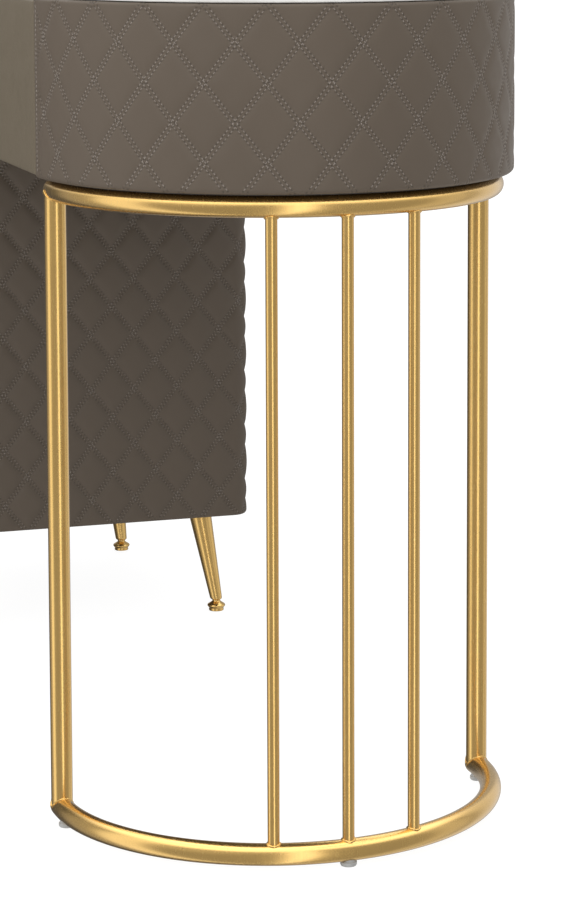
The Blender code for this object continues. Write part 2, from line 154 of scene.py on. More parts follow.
def stacked_rings(profile, steps):
    """A ring of points about Z for each (radius, height) of a profile."""
    angle = np.arange(steps) * TAU / steps
    ring = np.stack([np.cos(angle), np.sin(angle)], axis=1)
    return np.concatenate([
        np.column_stack([radius * ring, np.full(steps, height)]) for radius, height in profile
    ])


def turned(profile, steps=64):
    """Points and faces of a profile of (radius, height) pairs turned about Z, closed at the axis."""
    faces = as_lists(grid_faces(len(profile), steps, wrap_columns=True))
    low, high = profile[0][1], profile[-1][1]
    return with_end_fans(stacked_rings(profile, steps), faces, (0, 0, low), (0, 0, high), steps)


def turned_ring(profile, steps=96):
    """Points and faces of a closed profile turned about Z, with a hole through it."""
    faces = as_lists(grid_faces(len(profile), steps, wrap_rows=True, wrap_columns=True))
    return stacked_rings(profile, steps), faces


def rounded(corners, steps=4):
    """A profile of (radius, height, rounding) corners, each rounded corner drawn as an arc."""
    points = []
    for k, (x, y, rounding) in enumerate(corners):
        here = np.array([x, y], float)
        if rounding <= 0 or k in (0, len(corners) - 1):
            points.append(here)
            continue
        before = np.array(corners[k - 1][:2], float) - here
        after = np.array(corners[k + 1][:2], float) - here
        before /= np.linalg.norm(before)
        after /= np.linalg.norm(after)
        for t in np.linspace(0, 1, steps + 1):
            bend = (1 - t) ** 2 * before + t ** 2 * after
            points.append(here + rounding * bend)
    return points


def placed(points, matrix):
    points = np.asarray(points, float)
    matrix = np.array(matrix, float)
    return points @ matrix[:3, :3].T + matrix[:3, 3]


def joined(parts):
    """Several (points, faces) pairs as one."""
    points, faces, start = [], [], 0
    for part_points, part_faces in parts:
        points.append(np.asarray(part_points, float))
        faces.extend([[index + start for index in face] for face in part_faces])
        start += len(part_points)
    return np.vstack(points), faces


def swept(centres, across, up, radii, sides=24, closed=False):
    """A tube along centres; across and up span each cross section."""
    angle = (np.arange(sides) * TAU / sides)[None, :, None]
    ring = np.cos(angle) * across[:, None, :] + np.sin(angle) * up[:, None, :]
    points = (centres[:, None, :] + np.asarray(radii)[:, None, None] * ring).reshape(-1, 3)
    faces = as_lists(grid_faces(len(centres), sides, wrap_rows=closed, wrap_columns=True))
    if closed:
        return points, faces
    return with_end_fans(points, faces, centres[0], centres[-1], sides)


def outline(corners, step, closed=False):
    """Points, outward normals and running length along a plan of (x, y, rounding) corners."""
    places, normals = [], []
    count = len(corners)
    for k, (x, y, rounding) in enumerate(corners):
        here = np.array([x, y], float)
        if not closed and k in (0, count - 1):
            other = np.array(corners[1][:2] if k == 0 else corners[-2][:2], float)
            along = (other - here) if k == 0 else (here - other)
            along /= np.linalg.norm(along)
            places.append(here)
            normals.append(np.array([along[1], -along[0]]))
            continue
        before = here - np.array(corners[k - 1][:2], float)
        after = np.array(corners[(k + 1) % count][:2], float) - here
        before /= np.linalg.norm(before)
        after /= np.linalg.norm(after)
        turn = math.atan2(before[0] * after[1] - before[1] * after[0], before @ after)
        start = here - before * rounding * math.tan(abs(turn) / 2)
        side = np.array([before[1], -before[0]])
        centre = start - side * rounding
        arc_steps = max(6, int(math.ceil(abs(turn) * rounding / step)))
        for t in np.linspace(0, 1, arc_steps + 1):
            c, s = math.cos(turn * t), math.sin(turn * t)
            normal = np.array([c * side[0] - s * side[1], s * side[0] + c * side[1]])
            places.append(centre + normal * rounding)
            normals.append(normal)
    places, normals = np.array(places), np.array(normals)
    full_places, full_normals = [], []
    pairs = range(len(places) if closed else len(places) - 1)
    for k in pairs:
        following = (k + 1) % len(places)
        gap = np.linalg.norm(places[following] - places[k])
        if gap < TOUCHING:
            continue
        pieces = int(math.ceil(gap / step)) if gap > 1.5 * step else 1
        for t in np.arange(pieces) / pieces:
            full_places.append(places[k] * (1 - t) + places[following] * t)
            mixed = normals[k] * (1 - t) + normals[following] * t
            full_normals.append(mixed / np.linalg.norm(mixed))
    if not closed:
        full_places.append(places[-1])
        full_normals.append(normals[-1])
    full_places, full_normals = np.array(full_places), np.array(full_normals)
    lengths = np.linalg.norm(np.diff(full_places, axis=0), axis=1)
    return full_places, full_normals, np.concatenate([[0.0], np.cumsum(lengths)])


def steps_over(values, size):
    """The whole steps of a size that cover the range of the values."""
    return np.arange(math.floor(values.min() / size), math.ceil(values.max() / size) + 1)


# ---------------------------------------------------------------- quilting

class Quilt:
    """Diamond quilting: double rows of stitches through a lattice of crossings.

    half_wide and half_high are half a diamond; a crossing lies at (start, level).
    """

    ROW_OFFSET = 0.00175  # from the middle of a double row to either line of stitches
    PITCH = 0.0042
    RIDGE = 0.00035  # how far the leather rises between the two lines of a row

    def __init__(self, half_wide, half_high, start, level, puff, shoulder, rise):
        self.half_wide, self.half_high = half_wide, half_high
        self.start, self.level = start, level
        self.puff, self.shoulder, self.rise = puff, shoulder, rise
        self.scale = 1 / math.hypot(1 / half_wide, 1 / half_high)
        length = math.hypot(half_wide, half_high)
        self.slope = (half_wide / length, half_high / length)

    def distances(self, u, v):
        """Signed distance to the nearest double row of each family."""
        a, b = (u - self.start) / self.half_wide, (v - self.level) / self.half_high
        return [((p + 1) % 2 - 1) * self.scale for p in (a - b, a + b)]

    def height(self, u, v):
        """How far the leather stands proud of the stitched rows."""
        pillow, ridge = 1.0, 0.0
        for distance in self.distances(u, v):
            d = np.abs(distance)
            t = np.clip((d - self.shoulder) / self.rise, 0, 1)
            pillow = pillow * np.sqrt(1 - (1 - t) ** 2)
            ridge = np.maximum(ridge, np.clip(1 - (d / self.ROW_OFFSET) ** 2, 0, 1))
        return self.puff * pillow + self.RIDGE * ridge * (1 - pillow)

    def stitches(self, u_low, u_high, v_low, v_high):
        """Middle and direction (in u, v) of each stitch inside the given field."""
        found = []
        for sign in (1, -1):
            along = np.array([self.slope[0], sign * self.slope[1]])
            normal = np.array([self.slope[1], -sign * self.slope[0]])
            corners = np.array([(u, v) for u in (u_low, u_high) for v in (v_low, v_high)])
            corners = corners - (self.start, self.level)
            across = corners @ normal
            run = corners @ along
            spacing = 2 * self.scale
            counts = steps_over(run, self.PITCH)
            for line in steps_over(across, spacing):
                for row in (-self.ROW_OFFSET, self.ROW_OFFSET):
                    shift = 0.25 if row > 0 else -0.25
                    t = (counts + shift) * self.PITCH
                    middle = np.outer(t, along) + (line * spacing + row) * normal
                    middle += (self.start, self.level)
                    inside = (middle[:, 0] > u_low) & (middle[:, 0] < u_high)
                    inside &= (middle[:, 1] > v_low) & (middle[:, 1] < v_high)
                    direction = np.tile(along, (inside.sum(), 1))
                    found.append(np.column_stack([middle[inside], direction]))
        return np.vstack(found)


class Skin:
    """An upholstered skin along a plan outline, between two heights."""

    TUCK = 0.0004  # how far its hidden inner edges lie inside its height
    EDGE_STITCH = 0.0045  # the least height from an edge to a stitch

    def __init__(self, corners, z_low, z_high, quilt, thick, top_round, bottom_round, end_round,
                 step=0.0022, margin=0.0, end_depth=None):
        self.places, self.normals, self.run = outline(corners, step)
        self.z_low, self.z_high, self.quilt, self.thick = z_low, z_high, quilt, thick
        self.top_round, self.bottom_round, self.end_round = top_round, bottom_round, end_round
        self.step, self.margin = step, margin
        self.end_depth = end_depth or end_round

    @staticmethod
    def edge_drop(distance, radius, depth=None):
        """How far a rounded edge falls back, at a distance in from the edge."""
        t = np.clip(1 - distance / radius, 0, 1)
        return (depth or radius) * (1 - np.sqrt(1 - t ** 2))

    def relief(self, u, v):
        """Height of the skin over the plan outline at (run, height)."""
        length = self.run[-1]
        to_end = np.minimum(u, length - u)
        fade = np.clip((to_end - self.margin) / 0.006, 0, 1) if self.margin else 1.0
        fade = fade * np.clip((v - self.z_low) / 0.012, 0, 1) * np.clip((self.z_high - v) / 0.010, 0, 1)
        quilted = self.quilt.height(u, v)
        flat = self.quilt.puff * 0.75
        lift = flat + (quilted - flat) * fade
        drop = self.edge_drop(v - self.z_low, self.bottom_round)
        drop = np.maximum(drop, self.edge_drop(self.z_high - v, self.top_round))
        drop = np.maximum(drop, self.edge_drop(to_end, self.end_round, self.end_depth))
        return lift - self.quilt.puff * 0.5 - drop

    def point(self, u, v, lift=0.0):
        """Where the skin is in space, and the plan's outward normal there."""
        x = np.interp(u, self.run, self.places[:, 0])
        y = np.interp(u, self.run, self.places[:, 1])
        nx = np.interp(u, self.run, self.normals[:, 0])
        ny = np.interp(u, self.run, self.normals[:, 1])
        size = np.hypot(nx, ny)
        nx, ny = nx / size, ny / size
        d = self.relief(u, v) + lift
        return np.stack([x + nx * d, y + ny * d, v], axis=-1), np.stack([nx, ny, 0 * nx], axis=-1)

    def heights(self):
        """Levels of the grid's rows: close together where the edges are rounded."""
        low = self.z_low + self.bottom_round * (1 - np.cos(np.linspace(0, math.pi / 2, 7)))
        high = self.z_high - self.top_round * (1 - np.cos(np.linspace(math.pi / 2, 0, 6)))
        count = int((high[0] - low[-1]) / self.step)
        return np.concatenate([low, np.linspace(low[-1], high[0], count)[1:-1], high])

    def build(self, name, material, body, slot, stands_for):
        end = self.end_round * (1 - np.cos(np.linspace(0, math.pi / 2, 6)))
        length = self.run[-1]
        middle = self.run[(self.run > end[-1] + 1e-4) & (self.run < length - end[-1] - 1e-4)]
        u = np.concatenate([end, middle, (length - end)[::-1]])
        v = self.heights()
        uu, vv = np.meshgrid(u, v)
        outer, normal = self.point(uu, vv)
        plan = np.stack([np.interp(u, self.run, self.places[:, axis]) for axis in (0, 1)], axis=-1)
        edge = plan - normal[0, :, :2] * self.thick
        inner = [np.column_stack([edge, np.full(len(u), z)]) for z in (v[0] + self.TUCK, v[-1] - self.TUCK)]
        rows = np.concatenate([inner[0][None], outer, inner[1][None]])
        count, wide = rows.shape[:2]
        faces = as_lists(grid_faces(count, wide, wrap_rows=True))
        faces.append([k * wide for k in range(count)][::-1])
        faces.append([k * wide + wide - 1 for k in range(count)])
        uv = np.concatenate([
            np.column_stack([u, np.full(len(u), v[0] - self.thick)]),
            np.column_stack([uu.ravel(), vv.ravel()]),
            np.column_stack([u, np.full(len(u), v[-1] + self.thick)]),
        ])
        obj = make_piece(name, rows.reshape(-1, 3), faces, material, body, slot, stands_for, 60, uv)
        return obj

    def thread(self, name, material, body, slot, u_span, long=0.0026, thin=0.00036):
        """The quilting thread between two places along the run: one short bead for each stitch."""
        margin = self.margin + 0.004
        u_low, u_high = max(u_span[0], margin), min(u_span[1], self.run[-1] - margin)
        v_low, v_high = self.z_low + self.EDGE_STITCH, self.z_high - self.EDGE_STITCH
        field = self.quilt.stitches(u_low, u_high, v_low, v_high)
        middle, along = field[:, :2], field[:, 2:]
        bead = [(-0.5, 0.12, -0.25), (-0.26, 1.0, 0.5), (0.26, 1.0, 0.5), (0.5, 0.12, -0.25)]
        rings = []
        for reach, width, lift in bead:
            place = middle + along * long * reach
            centre, normal = self.point(*place.T, lift * thin)
            sideways = np.column_stack([-along[:, 1], along[:, 0]]) * 1e-4
            beside, _ = self.point(*(place + sideways).T, lift * thin)
            side = beside - centre
            side /= np.linalg.norm(side, axis=1)[:, None]
            for turn in range(4):
                a = TAU * turn / 4
                rings.append(centre + width * thin * (math.cos(a) * side + 0.8 * math.sin(a) * normal))
        stack = np.stack(rings, axis=1)
        one = np.vstack([grid_faces(4, 4, wrap_columns=True), [[3, 2, 1, 0], [12, 13, 14, 15]]])
        faces = (one[None] + (np.arange(len(stack)) * 16)[:, None, None]).reshape(-1, 4)
        return make_piece(name, stack.reshape(-1, 3), faces, material, body, slot, sharp=80)


# ---------------------------------------------------------------- materials

class Nodes:
    """A material under construction: small helpers that add and link its nodes."""

    def __init__(self, name):
        self.material = bpy.data.materials.new(name)
        self.material.use_nodes = True
        self.tree = self.material.node_tree
        self.place = self.node("TexCoord").outputs["Object"]

    def node(self, kind, **values):
        made = self.tree.nodes.new("ShaderNode" + kind)
        for key, value in values.items():
            setattr(made, key, value)
        return made

    def link(self, source, target):
        self.tree.links.new(source, target)

    def feed(self, socket, value):
        if isinstance(value, bpy.types.NodeSocket):
            self.link(value, socket)
        else:
            socket.default_value = value

    def split(self, vector):
        made = self.node("SeparateXYZ")
        self.link(vector, made.inputs[0])
        return made.outputs

    def maths(self, operation, *values, clamp=False):
        made = self.node("Math", operation=operation, use_clamp=clamp)
        for socket, value in zip(made.inputs, values):
            self.feed(socket, value)
        return made.outputs[0]


class Paint(Nodes):
    """A Principled material under construction."""

    def __init__(self, name, colour, roughness, **sockets):
        super().__init__(name)
        self.shader = self.tree.nodes["Principled BSDF"]
        self.shader.inputs["Base Color"].default_value = (*colour, 1.0)
        self.shader.inputs["Roughness"].default_value = roughness
        for socket, value in sockets.items():
            self.shader.inputs[socket.replace("_", " ")].default_value = value
        self.material.diffuse_color = (*colour, 1.0)

    def stretched(self, scale):
        made = self.node("Mapping")
        made.inputs["Scale"].default_value = scale
        self.link(self.place, made.inputs["Vector"])
        return made.outputs["Vector"]

    def noise(self, scale, detail=3.0, roughness=0.55, where=None, distortion=0.0):
        made = self.node("TexNoise")
        made.inputs["Scale"].default_value = scale
        made.inputs["Detail"].default_value = detail
        made.inputs["Roughness"].default_value = roughness
        made.inputs["Distortion"].default_value = distortion
        self.link(where or self.place, made.inputs["Vector"])
        return made.outputs["Fac"]

    def cells(self, scale):
        made = self.node("TexVoronoi", feature="F1")
        made.inputs["Scale"].default_value = scale
        self.link(self.place, made.inputs["Vector"])
        return made.outputs["Distance"]

    def between(self, value, low, high, start=0.3, full=0.7):
        """low to high as the value goes from start to full."""
        made = self.node("MapRange", clamp=True)
        self.link(value, made.inputs["Value"])
        for socket, number in zip(("From Min", "From Max", "To Min", "To Max"), (start, full, low, high)):
            made.inputs[socket].default_value = number
        return made.outputs["Result"]

    def blend(self, share, first, second):
        made = self.node("Mix", data_type="RGBA", blend_type="MIX")
        self.feed(made.inputs["Factor"], share)
        for socket, colour in ((made.inputs[6], first), (made.inputs[7], second)):
            self.feed(socket, colour if isinstance(colour, bpy.types.NodeSocket) else (*colour, 1.0))
        return made.outputs[2]

    def shades(self, value, base, first, second, start=0.3, full=0.7):
        """The base times first to the base times second as the value goes from start to full."""
        return self.blend(self.between(value, 0.0, 1.0, start, full), base * first, base * second)

    def colour(self, socket):
        self.link(socket, self.shader.inputs["Base Color"])

    def rough(self, value, low, high, start=0.3, full=0.7):
        self.link(self.between(value, low, high, start, full), self.shader.inputs["Roughness"])

    def bump(self, height, depth, strength=1.0):
        made = self.node("Bump")
        made.inputs["Strength"].default_value = strength
        made.inputs["Distance"].default_value = depth
        self.link(height, made.inputs["Height"])
        last = self.shader.inputs["Normal"].links
        if last:
            self.link(last[0].from_socket, made.inputs["Normal"])
        self.link(made.outputs["Normal"], self.shader.inputs["Normal"])


LEATHER = (0.090, 0.069, 0.050)
FRONT_LEATHER = (0.116, 0.093, 0.062)


def leather(name, quilt=None, tone=1.0, colour=LEATHER):
    """Taupe leather with a fine pebble grain; round a quilt's stitches it is puckered, with painted shade in
    each needle hole.
    """
    base = np.array(colour) * tone
    paint = Paint(name, base, 0.5, Specular_IOR_Level=0.28)
    shade = paint.shades(paint.noise(7.0, 4), base, 0.97, 1.03)
    pebble = paint.cells(1300.0)
    shade = paint.blend(paint.between(pebble, 0.0, 1.0, 0.15, 0.75), shade, base * 0.96)
    paint.rough(paint.noise(60.0, 4), 0.44, 0.56)
    paint.bump(pebble, 0.00005, 0.25)
    paint.bump(paint.noise(420.0, 3), 0.00005, 0.2)
    if quilt:
        hole_shade, pucker = stitch_masks(paint, quilt)
        # painted shade: each needle hole is darkened towards 45% of the leather's colour, for the shade
        # inside the hole
        shade = paint.blend(hole_shade, shade, base * 0.45)
        paint.bump(pucker, 0.0005, 0.6)
    paint.colour(shade)
    return paint.material


def stitch_masks(paint, quilt):
    """Painted shade in each needle hole of the leather, and the small puckers along each row."""
    maths = paint.maths
    field = paint.split(paint.node("UVMap", uv_map="skin").outputs["UV"])
    u = maths("SUBTRACT", field[0], quilt.start)
    v = maths("SUBTRACT", field[1], quilt.level)
    run, climb = quilt.slope
    spacing = 2 * quilt.scale
    hole_shades, puckers = [], []
    for sign in (1, -1):
        along = maths("ADD", maths("MULTIPLY", u, run), maths("MULTIPLY", v, sign * climb))
        across = maths("ADD", maths("MULTIPLY", u, climb), maths("MULTIPLY", v, -sign * run))
        middle = maths("PINGPONG", maths("ADD", across, 50 * spacing), spacing / 2)
        right_side = maths("LESS_THAN", maths("FLOORED_MODULO", across, spacing), spacing / 2)
        shift = maths("MULTIPLY_ADD", right_side, -0.5 * quilt.PITCH, 0.75 * quilt.PITCH)
        off_row = maths("ABSOLUTE", maths("SUBTRACT", middle, quilt.ROW_OFFSET))
        t = maths("FLOORED_MODULO", maths("SUBTRACT", along, shift), quilt.PITCH)
        to_hole = maths("ABSOLUTE", maths("SUBTRACT", t, quilt.PITCH / 2))
        beside = maths("POWER", off_row, 2.0)
        ahead = maths("POWER", maths("MULTIPLY", to_hole, 0.8), 2.0)
        spot = maths("SQRT", maths("ADD", beside, ahead))
        hole_shades.append(paint.between(spot, 1.0, 0.0, 0.00035, 0.00095))
        near = paint.between(off_row, 1.0, 0.0, 0.0004, 0.0022)
        wave = maths("COSINE", maths("MULTIPLY", t, TAU / quilt.PITCH))
        puckers.append(maths("MULTIPLY", near, wave))
    return maths("MULTIPLY", maths("MAXIMUM", *hole_shades), 0.75), maths("ADD", *puckers)


def thread_paint(name, base):
    """Twisted, slightly waxy polyester thread."""
    base = np.array(base)
    paint = Paint(name, base, 0.55, Sheen_Weight=0.2, Sheen_Roughness=0.4)
    twist = paint.cells(2600.0)
    paint.colour(paint.shades(twist, base, 1.12, 0.8, 0.1, 0.6))
    paint.rough(paint.noise(900.0), 0.48, 0.66)
    paint.bump(twist, 0.00008, 0.5)
    return paint.material


def brass():
    """Satin brass plate: a soft mottled sheen over very fine polishing marks."""
    base = np.array((0.81, 0.520, 0.165))
    dull, bright = np.array((0.97, 0.965, 0.95)), np.array((1.02, 1.02, 1.03))
    paint = Paint("satin_brass", base, 0.25, Metallic=1.0, Coat_Weight=0.6, Coat_Roughness=0.2)
    paint.colour(paint.shades(paint.noise(16.0, 5), base, dull, bright))
    marks = paint.noise(700.0, 3, 0.6, paint.stretched((1.0, 1.0, 0.04)))
    paint.rough(marks, 0.23, 0.28)
    paint.bump(marks, 0.000004, 0.1)
    return paint.material


def white_stone():
    """Sintered white stone: polished, with faint warm and grey drifts."""
    base = np.array((0.66, 0.650, 0.630))
    paint = Paint("white_stone", base, 0.2, Specular_IOR_Level=0.5, Coat_Weight=0.25, Coat_Roughness=0.08)
    warp = paint.noise(3.0, 6, 0.6, distortion=1.2)
    vein = paint.maths("ABSOLUTE", paint.maths("SUBTRACT", warp, 0.5))
    lines = paint.between(vein, 1.0, 0.0, 0.0, 0.035)
    drift = paint.shades(paint.noise(5.0, 3), base, 0.98, 1.03, 0.35, 0.65)
    paint.colour(paint.blend(paint.maths("MULTIPLY", lines, 0.30), drift, (0.47, 0.45, 0.42)))
    paint.rough(paint.noise(30.0, 4), 0.16, 0.26)
    paint.bump(paint.noise(300.0, 2), 0.00004, 0.15)
    return paint.material


def wood(name, light, dark, roughness, along):
    """Straight-grained wood or veneer whose grain runs along the given axis."""
    paint = Paint(name, light, roughness, Specular_IOR_Level=0.4)
    squeeze = [1.0, 1.0, 1.0]
    squeeze[along] = 0.06
    drawn = paint.stretched(squeeze)
    rings = paint.noise(38.0, 5, 0.62, drawn, 0.6)
    pores = paint.noise(420.0, 2, 0.5, drawn)
    tone = paint.blend(paint.between(rings, 0.0, 1.0, 0.32, 0.68), dark, light)
    pore_share = paint.between(pores, 0.55, 0.0, 0.30, 0.46)
    paint.colour(paint.blend(pore_share, tone, np.array(dark) * 0.6))
    paint.rough(rings, roughness - 0.07, roughness + 0.08)
    paint.bump(pores, 0.00012, 0.35)
    return paint.material


def steel():
    """Zinc-plated runner steel, rolled along its length and lightly oiled."""
    base = np.array((0.52, 0.53, 0.55))
    paint = Paint("runner_steel", base, 0.3, Metallic=1.0)
    lines = paint.noise(500.0, 3, 0.6, paint.stretched((1.0, 0.03, 1.0)))
    paint.colour(paint.shades(paint.cells(140.0), base, 1.06, 0.88, 0.1, 0.8))
    paint.rough(lines, 0.22, 0.42)
    paint.bump(lines, 0.00004, 0.3)
    return paint.material


def plastic():
    """Moulded grey plastic with a spark-eroded texture and scuffs."""
    base = np.array((0.34, 0.34, 0.33))
    paint = Paint("glide_plastic", base, 0.5)
    scuff = paint.noise(160.0, 4)
    paint.colour(paint.shades(scuff, base, 0.85, 1.12))
    paint.rough(scuff, 0.42, 0.62)
    paint.bump(paint.cells(2200.0), 0.00005, 0.4)
    return paint.material


def silvered_glass():
    """Silvered mirror glass with the faintest haze of handling."""
    grey = (0.88, 0.90, 0.90)
    paint = Paint("mirror_glass", grey, 0.03, Metallic=1.0, Coat_Weight=0.6, Coat_Roughness=0.02)
    haze = paint.noise(9.0, 5, 0.6)
    paint.rough(haze, 0.015, 0.06, 0.4, 0.8)
    paint.colour(paint.blend(paint.between(haze, 0.0, 1.0), (0.86, 0.885, 0.885), (0.91, 0.925, 0.92)))
    return paint.material


def felt(name, base):
    """Short-napped felt."""
    base = np.array(base)
    paint = Paint(name, base, 0.9, Sheen_Weight=0.5, Sheen_Roughness=0.6, Specular_IOR_Level=0.2)
    nap = paint.noise(900.0, 4, 0.7)
    paint.colour(paint.shades(nap, base, 0.7, 1.25))
    paint.rough(nap, 0.82, 0.98)
    paint.bump(nap, 0.0003, 0.6)
    return paint.material


# ---------------------------------------------------------------- leather

BAND_QUILT = Quilt(0.02788, 0.0344, 0.2557, 0.6634, puff=0.0011, shoulder=0.0024, rise=0.010)
COVER_QUILT = Quilt(0.0257, 0.0325, 0.2107, 0.3115, puff=0.0030, shoulder=0.0026, rise=0.011)


def add_band():
    """The quilted skin of the half-round end, the back and the left end, with its thread."""
    low, high = BAND_LOW, BAND_HIGH
    lead = 0.0004  # straight length before the arc begins
    plan = [
        (ARC_X - lead, low[1], 0), (high[0], low[1], HALF), (high[0], high[1], HALF),
        (low[0], high[1], CORNER), (low[0], low[1], 0),
    ]
    skin = Skin(plan, low[2], high[2], BAND_QUILT, thick=0.0095, top_round=0.0030, bottom_round=0.0045,
                end_round=0.0130, margin=0.0205, end_depth=0.0045)
    paint = leather("band_leather", BAND_QUILT)
    skin.build("quilted_band_leather", paint, "table", "quilted_leather", ["quilted_band"])
    length = skin.run[-1]
    round_end = math.pi * HALF
    stops = (0, round_end, round_end + 0.56, length - 0.44, length)  # two lengths of thread for the back
    for part, span in zip(("round_end", "back", "back_left", "left_end"), zip(stops, stops[1:])):
        skin.thread(f"band_thread_{part}", THREAD, "table", "quilted_leather", span)
    add_edge_seam(skin, 0.0145, low[2] + 0.004, high[2] - 0.004)


def add_edge_seam(skin, inset, low, high):
    """A line of stitches down both upright edges of the band."""
    reaches = np.array((-0.0013, -0.0007, 0.0007, 0.0013))
    radii = (0.0001, 0.0004, 0.0004, 0.0001)
    proud, pitch = 0.0001, Quilt.PITCH
    stitches = []
    for u in (inset, skin.run[-1] - inset):
        for v in np.arange(low + pitch, high - pitch, pitch):
            centres, normals = skin.point(np.full(4, u), v + reaches, proud)
            across = np.cross(normals, (0, 0, 1.0))
            stitches.append(swept(centres, across, normals, radii, 6))
    points, faces = joined(stitches)
    make_piece("band_seam_thread", points, faces, THREAD, "table", "quilted_leather", sharp=80)


def add_cover():
    """The padded cover of the cabinet's two sides and back."""
    low, high = box("cabinet_quilted_cover")
    plan = [
        (high[0], low[1], 0), (high[0], high[1], CORNER), (low[0], high[1], CORNER), (low[0], low[1], 0),
    ]
    skin = Skin(plan, low[2], high[2], COVER_QUILT, thick=0.0115, top_round=0.0045, bottom_round=0.0045,
                end_round=0.0045, step=0.0025, margin=0.0075)
    # painted shade: the cover is the band's leather darkened to 83%, for the shade under the table top
    paint = leather("cover_leather", COVER_QUILT, 0.83)
    skin.build("cabinet_quilted_leather", paint, "table", "quilted_leather", ["cabinet_quilted_cover"])
    length = skin.run[-1]
    side = high[1] - low[1]
    spans = {"right": (0, side), "back": (side, length - side), "left": (length - side, length)}
    for part, span in spans.items():
        skin.thread(f"cabinet_thread_{part}", COVER_THREAD, "table", "quilted_leather", span)


def leather_front(node, body, material, crown=0.0006, edge=0.0030, trim=0.0011):
    """A drawer front wrapped in smooth leather: lightly crowned, with soft folded edges."""
    low, high = box(node)
    low, high = low + (trim, 0, 0), high - (trim, 0, 0)
    size = high - low
    across = rounded_steps(size[0], edge, 40)
    up = rounded_steps(size[2], edge, 24)
    xx, zz = np.meshgrid(across, up)
    to_side = np.minimum(xx, size[0] - xx)
    to_end = np.minimum(zz, size[2] - zz)
    drop = np.maximum(Skin.edge_drop(to_side, edge), Skin.edge_drop(to_end, edge))
    bulge = crown * (1 - (2 * xx / size[0] - 1) ** 4) * (1 - (2 * zz / size[2] - 1) ** 4)
    front = np.stack([low[0] + xx, low[1] + drop - bulge, low[2] + zz], axis=-1)
    rows, columns = front.shape[:2]
    points = front.reshape(-1, 3)
    faces = as_lists(grid_faces(rows, columns))
    rim = list(range(columns))
    rim += [r * columns + columns - 1 for r in range(1, rows)]
    rim += [(rows - 1) * columns + c for c in range(columns - 2, -1, -1)]
    rim += [r * columns for r in range(rows - 2, 0, -1)]
    chamfer = 0.001
    levels = [low[1] + edge + (size[1] - edge - chamfer) * t for t in (0.35, 1.0)] + [high[1]]
    ring_points = points[rim]
    centre = (low + high) / 2
    loops = [np.array(rim)]
    for k, level in enumerate(levels):
        loop = ring_points.copy()
        loop[:, 1] = level
        if k == len(levels) - 1:
            for axis in (0, 2):
                loop[:, axis] += np.sign(centre[axis] - loop[:, axis]) * chamfer
        loops.append(np.arange(len(points), len(points) + len(loop)))
        points = np.vstack([points, loop])
    for first, second in zip(loops, loops[1:]):
        for k in range(len(rim)):
            after = (k + 1) % len(rim)
            faces.append([first[after], first[k], second[k], second[after]])
    faces.append([int(index) for index in loops[-1]])
    obj = make_piece(f"{node}_leather", points, faces, material, body, "smooth_leather", [node])
    return obj


def rounded_steps(length, edge, count):
    """Places along a side: close together over both rounded edges."""
    start = edge * (1 - np.cos(np.linspace(0, math.pi / 2, 6)))
    middle = np.linspace(edge, length - edge, count)[1:-1]
    return np.concatenate([start, middle, (length - start)[::-1]])


# ---------------------------------------------------------------- brass frame

def ring_piece(node, height):
    """A half ring of round tube whose two ends are closed and softly rounded."""
    low, _ = box(node)
    reach = ARC_X - low[0]
    soft = 0.006
    turns = np.linspace(0, math.pi / 2, 7)[::-1]
    ends = [(reach - soft + soft * math.sin(t), TUBE_R - soft * (1 - math.cos(t))) for t in turns]
    bends = np.linspace(-math.pi / 2, math.pi / 2, 121)
    stations = [((ARC_X - back, -RING_R), (0.0, -1.0), radius) for back, radius in ends]
    for angle in bends:
        outward = (math.cos(angle), math.sin(angle))
        stations.append(((ARC_X + RING_R * outward[0], RING_R * outward[1]), outward, TUBE_R))
    stations += [((ARC_X - back, RING_R), (0.0, 1.0), radius) for back, radius in ends[::-1]]
    centres = np.array([(x, y, height) for (x, y), _, _ in stations])
    outward = np.array([(x, y, 0.0) for _, (x, y), _ in stations])
    up = np.tile((0.0, 0.0, 1.0), (len(stations), 1))
    points, faces = swept(centres, up, outward, [radius for _, _, radius in stations], 32)
    brass_piece(f"{node}_tube", points, faces, [node], sharp=60)


def upright_piece(node, radius):
    """A tube coped over the curve of both rings, with its two welds."""
    x, y, _ = measured(node)[2]
    turn = math.atan2(y, x - ARC_X)
    outward = np.array([math.cos(turn), math.sin(turn), 0.0])
    along = np.array([-math.sin(turn), math.cos(turn), 0.0])
    up = np.array([0.0, 0.0, 1.0])
    sides, overlap = 48, 0.0002
    phi = np.arange(sides) * TAU / sides
    fall = np.sqrt(TUBE_R ** 2 - (radius * np.sin(phi)) ** 2)
    bottom, top = LOWER_RING_Z + fall - overlap, UPPER_RING_Z - fall + overlap
    radial = np.cos(phi)[:, None] * along + np.sin(phi)[:, None] * outward
    centre = np.array([x, y, 0.0])
    levels = np.linspace(0, 1, 13)
    rows = [centre + radius * radial + np.outer(bottom * (1 - t) + top * t, up) for t in levels]
    faces = as_lists(grid_faces(len(levels), sides, wrap_columns=True))
    ends = (x, y, bottom.mean()), (x, y, top.mean())
    points, faces = with_end_fans(np.vstack(rows), faces, *ends, sides)
    brass_piece(f"{node}_tube", points, faces, [node], sharp=60)
    bead = 0.0011 if radius < TUBE_R else 0.0009
    wobble = 1 + 0.10 * np.sin(9 * phi + 17 * turn) + 0.06 * np.sin(23 * phi)
    welds = []
    for level, sign in ((bottom, 1), (top, -1)):
        line = centre + (radius + bead * 0.15) * radial + np.outer(level + sign * bead * 0.25, up)
        welds.append(swept(line, radial, np.tile(up, (sides, 1)), bead * wobble, 10, closed=True))
    brass_piece(f"{node}_welds", *joined(welds), sharp=80)


def add_frame():
    ring_piece("upper_ring", UPPER_RING_Z)
    ring_piece("lower_ring", LOWER_RING_Z)
    for node in ("front_post", "back_post", "frame_bar_1", "frame_bar_2", "frame_bar_3"):
        low, high = box(node)
        upright_piece(node, (high[0] - low[0]) / 2 if "bar" in node else TUBE_R)
    for place in ("front", "middle", "back"):
        add_glide(f"ring_glide_{place}")


